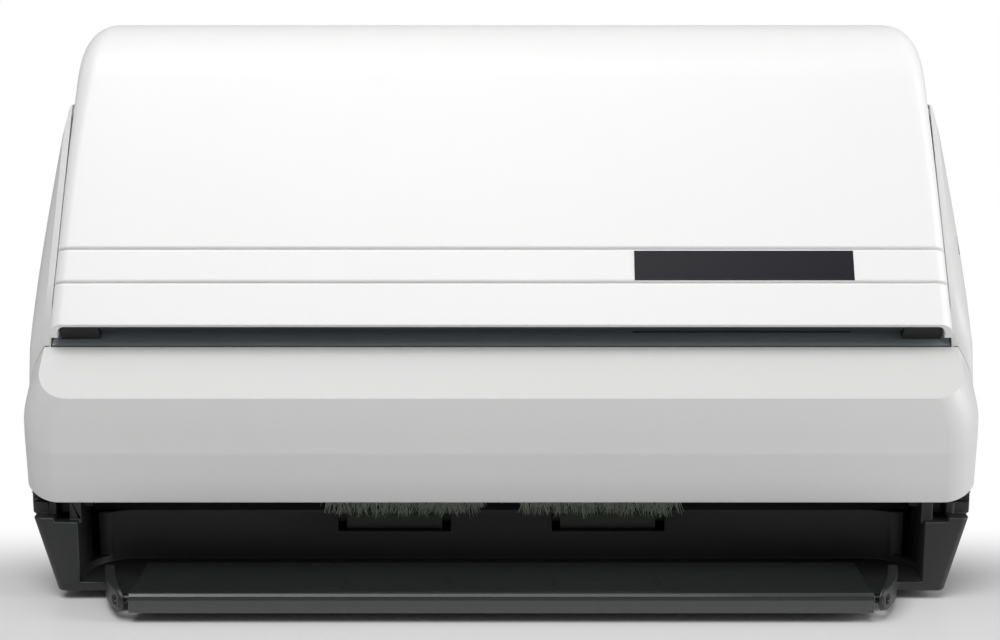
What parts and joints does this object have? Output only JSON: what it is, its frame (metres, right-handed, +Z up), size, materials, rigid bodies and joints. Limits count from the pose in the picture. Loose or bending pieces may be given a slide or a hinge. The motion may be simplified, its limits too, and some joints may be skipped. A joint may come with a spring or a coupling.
{
  "type": "document scanner",
  "caption": "compact desktop sheet-fed document scanner with a hinged chute lid, a drop-down front door, a fold-out output flap and a roller paper path",
  "frame": {"origin": "centre of the bounding box at the level of the feet's undersides", "axes": "X across the machine, to the right seen from the front; Y from the front to the back; Z up; the machine stands on its feet with its lid, door and flap closed"},
  "size_m": [0.3186, 0.1702, 0.1862],
  "materials": {
    "white_shell": "fine matt texture",
    "badge": "smooth dark, bare",
    "stop_rubber": "matt",
    "bright_steel": "ground",
    "black_plastic": "fine texture",
    "grey_plastic": "smooth",
    "bristle": "conductive fibre",
    "roller_rubber": "ground rubber",
    "panel_gloss": "glossy",
    "display_glass": "glossy",
    "sensor_glass": "clear",
    "sensor_black": "matt",
    "key_plastic": "satin",
    "sheet_steel": "zinc plated",
    "brass": "turned",
    "screw_steel": "zinc plated",
    "belt_rubber": "moulded",
    "motor_can": "drawn can",
    "gear_plastic": "acetal",
    "circuit_board": "solder resist",
    "socket_metal": "tinned",
    "inlet_black": "smooth"
  },
  "bodies": {
    "housing": {"base_housing": "black_plastic", "rubber_feet": "stop_rubber", "left_side_cover": "white_shell", "right_side_cover": "white_shell", "rear_cover": "white_shell", "control_panel": "black_plastic", "panel_inlay": "panel_gloss", "display_window": "display_glass", "control_board": "circuit_board", "front_unit_frame": "black_plastic", "feed_bed": "black_plastic", "front_sensor_glass": "sensor_glass", "rear_sensor_glass": "sensor_glass", "front_image_sensor": "sensor_black", "rear_image_sensor": "sensor_black", "left_chassis_plate": "sheet_steel", "right_chassis_plate": "sheet_steel", "chassis_beams": "sheet_steel", "shaft_bushes": "brass", "screws": "screw_steel", "timing_belts": "belt_rubber", "drive_motor": "motor_can", "main_board": "circuit_board", "usb_socket": "socket_metal", "lan_socket": "socket_metal", "dc_inlet": "inlet_black", "power_switch": "black_plastic", "flap_pins": "bright_steel", "lid_hinge_pins": "bright_steel", "door_hinge_pins": "bright_steel"},
    "lid": {"lid_shell": "white_shell", "badge_plate": "badge", "lid_corner_blocks": "stop_rubber", "lid_liner": "black_plastic"},
    "extension": {"chute_extension": "black_plastic"},
    "front_door": {"front_fascia": "white_shell", "door_inner_frame": "black_plastic", "antistatic_brush": "bristle"},
    "flap": {"output_flap": "black_plastic"},
    "guide_left": {"left_paper_guide": "black_plastic"},
    "guide_right": {"right_paper_guide": "black_plastic"},
    "guide_gear": {"guide_pinion": "gear_plastic"},
    "feed_shaft": {"feed_roller": "roller_rubber"},
    "upper_drive": {"upper_drive_roller": "roller_rubber"},
    "lower_drive": {"lower_drive_roller": "roller_rubber"},
    "exit_drive": {"exit_roller": "roller_rubber"},
    "eject_shaft": {"eject_rollers": "roller_rubber"},
    "upper_pinch": {"upper_pinch_rollers": "bright_steel"},
    "lower_pinch": {"lower_pinch_rollers": "bright_steel"},
    "exit_pinch": {"exit_pinch_rollers": "bright_steel"},
    "motor_gear": {"motor_pinion": "brass"},
    "scan_key": {"scan_button": "key_plastic"},
    "up_key": {"up_button": "key_plastic"},
    "down_key": {"down_button": "key_plastic"},
    "release": {"release_button": "grey_plastic"},
    "rocker": {"power_rocker": "inlet_black"},
    "lever": {"sensor_lever": "black_plastic"},
    "pad": {"pad_holder": "black_plastic", "separation_pad": "roller_rubber"}
  },
  "joints": [
    {"name": "lid_hinge", "type": "hinge", "parent": "housing", "child": "lid", "pos_m": [0, 0.05327, 0.16649], "axis": [-1, 0, 0], "range_deg": [0, 165]},
    {"name": "extension_slide", "type": "slide", "parent": "lid", "child": "extension", "axis": [0, -0.7771, -0.6293], "range_m": [0, 0.0551]},
    {"name": "front_door_hinge", "type": "hinge", "parent": "housing", "child": "front_door", "pos_m": [0, -0.057, 0.034], "axis": [1, 0, 0], "range_deg": [0, 48]},
    {"name": "output_flap_hinge", "type": "hinge", "parent": "housing", "child": "flap", "pos_m": [0, -0.08075, 0.0069], "axis": [1, 0, 0], "range_deg": [0, 175]},
    {"name": "right_guide_slide", "type": "slide", "parent": "housing", "child": "guide_right", "axis": [-1, 0, 0], "range_m": [0, 0.053]},
    {"name": "left_guide_slide", "type": "slide", "parent": "housing", "child": "guide_left", "axis": [1, 0, 0], "range_m": [0, 0.053]},
    {"name": "guide_pinion_spin", "type": "hinge", "parent": "housing", "child": "guide_gear", "pos_m": [0, 0.03979, 0.14884], "axis": [0, 0.8643, -0.503], "range_deg": [0, 434]},
    {"name": "lower_drive_spin", "type": "hinge", "parent": "housing", "child": "lower_drive", "pos_m": [0, -0.00389, 0.06782], "axis": [1, 0, 0], "continuous": true},
    {"name": "upper_drive_spin", "type": "hinge", "parent": "housing", "child": "upper_drive", "pos_m": [0, 0.01723, 0.10412], "axis": [1, 0, 0], "continuous": true},
    {"name": "feed_spin", "type": "hinge", "parent": "housing", "child": "feed_shaft", "pos_m": [0, 0.0329, 0.12508], "axis": [1, 0, 0], "continuous": true},
    {"name": "exit_spin", "type": "hinge", "parent": "housing", "child": "exit_drive", "pos_m": [0, -0.01784, 0.04585], "axis": [1, 0, 0], "continuous": true},
    {"name": "eject_spin", "type": "hinge", "parent": "housing", "child": "eject_shaft", "pos_m": [0, -0.03225, 0.019], "axis": [1, 0, 0], "continuous": true},
    {"name": "upper_pinch_spin", "type": "hinge", "parent": "housing", "child": "upper_pinch", "pos_m": [0, 0.006, 0.11066], "axis": [1, 0, 0], "continuous": true},
    {"name": "lower_pinch_spin", "type": "hinge", "parent": "housing", "child": "lower_pinch", "pos_m": [0, -0.01513, 0.07436], "axis": [1, 0, 0], "continuous": true},
    {"name": "exit_pinch_spin", "type": "hinge", "parent": "front_door", "child": "exit_pinch", "pos_m": [0, -0.02821, 0.05189], "axis": [1, 0, 0], "continuous": true},
    {"name": "motor_spin", "type": "hinge", "parent": "housing", "child": "motor_gear", "pos_m": [0, 0.02053, 0.06351], "axis": [1, 0, 0], "continuous": true},
    {"name": "scan_press", "type": "slide", "parent": "housing", "child": "scan_key", "axis": [0, 0.6293, -0.7771], "range_m": [0, 0.001], "stiffness_N_per_m": 400, "springref_m": -0.0005},
    {"name": "up_press", "type": "slide", "parent": "housing", "child": "up_key", "axis": [0, 0.6293, -0.7771], "range_m": [0, 0.001], "stiffness_N_per_m": 400, "springref_m": -0.0005},
    {"name": "down_press", "type": "slide", "parent": "housing", "child": "down_key", "axis": [0, 0.6293, -0.7771], "range_m": [0, 0.001], "stiffness_N_per_m": 400, "springref_m": -0.0005},
    {"name": "release_press", "type": "slide", "parent": "housing", "child": "release", "axis": [-1, 0, 0], "range_m": [0, 0.002], "stiffness_N_per_m": 400, "springref_m": -0.0005},
    {"name": "power_rock", "type": "hinge", "parent": "housing", "child": "rocker", "pos_m": [-0.06, 0.0789, 0.05], "axis": [0, 0, -1], "range_deg": [0, 16]},
    {"name": "lever_swing", "type": "hinge", "parent": "housing", "child": "lever", "pos_m": [0, 0.02729, 0.1214], "axis": [1, 0, 0], "range_deg": [0, 30], "stiffness_Nm_per_rad": 0.002, "springref_deg": -11.46},
    {"name": "pad_slide", "type": "slide", "parent": "housing", "child": "pad", "axis": [0, -0.8643, 0.503], "range_m": [0, 0.001], "stiffness_N_per_m": 800, "springref_m": -0.0005}
  ],
  "couplings": [
    {"joint": "extension_slide", "follows": "lid_hinge", "m_per_rad": 0.0191},
    {"joint": "left_guide_slide", "follows": "right_guide_slide", "ratio": 1},
    {"joint": "guide_pinion_spin", "follows": "right_guide_slide", "rad_per_m": 142.86},
    {"joint": "upper_drive_spin", "follows": "lower_drive_spin", "ratio": 1},
    {"joint": "feed_spin", "follows": "lower_drive_spin", "ratio": 1},
    {"joint": "exit_spin", "follows": "lower_drive_spin", "ratio": 1},
    {"joint": "eject_spin", "follows": "lower_drive_spin", "ratio": 1.5},
    {"joint": "upper_pinch_spin", "follows": "lower_drive_spin", "ratio": -1.6},
    {"joint": "lower_pinch_spin", "follows": "lower_drive_spin", "ratio": -1.6},
    {"joint": "exit_pinch_spin", "follows": "lower_drive_spin", "ratio": -1.4},
    {"joint": "motor_spin", "follows": "lower_drive_spin", "ratio": -3.4286}
  ]
}
